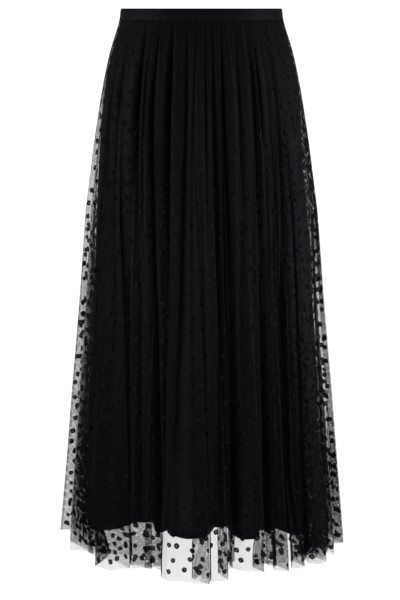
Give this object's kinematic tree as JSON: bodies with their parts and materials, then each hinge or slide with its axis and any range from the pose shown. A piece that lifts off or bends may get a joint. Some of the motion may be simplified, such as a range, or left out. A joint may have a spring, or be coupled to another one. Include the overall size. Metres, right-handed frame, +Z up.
{
  "type": "tulle skirt",
  "caption": "Ankle-length gathered skirt of dotted net over a shorter opaque lining, sewn to a flat waistband, hollow and hanging as worn.",
  "frame": {"origin": "centre of the waist ring, halfway up the waistband", "axes": "+Z up, the front faces -Y, +X is towards the wearer's left hip"},
  "size_m": [0.495, 0.3653, 0.9153],
  "materials": {
    "waistband": "smooth woven band, soft sheen",
    "dotted_net": "sheer matt net with flocked dots",
    "lining": "opaque satin-backed lining"
  },
  "bodies": {
    "root": {"waistband_front": "waistband", "waistband_back": "waistband", "net_front": "dotted_net", "net_back": "dotted_net", "lining_front": "lining", "lining_back": "lining"}
  },
  "joints": []
}
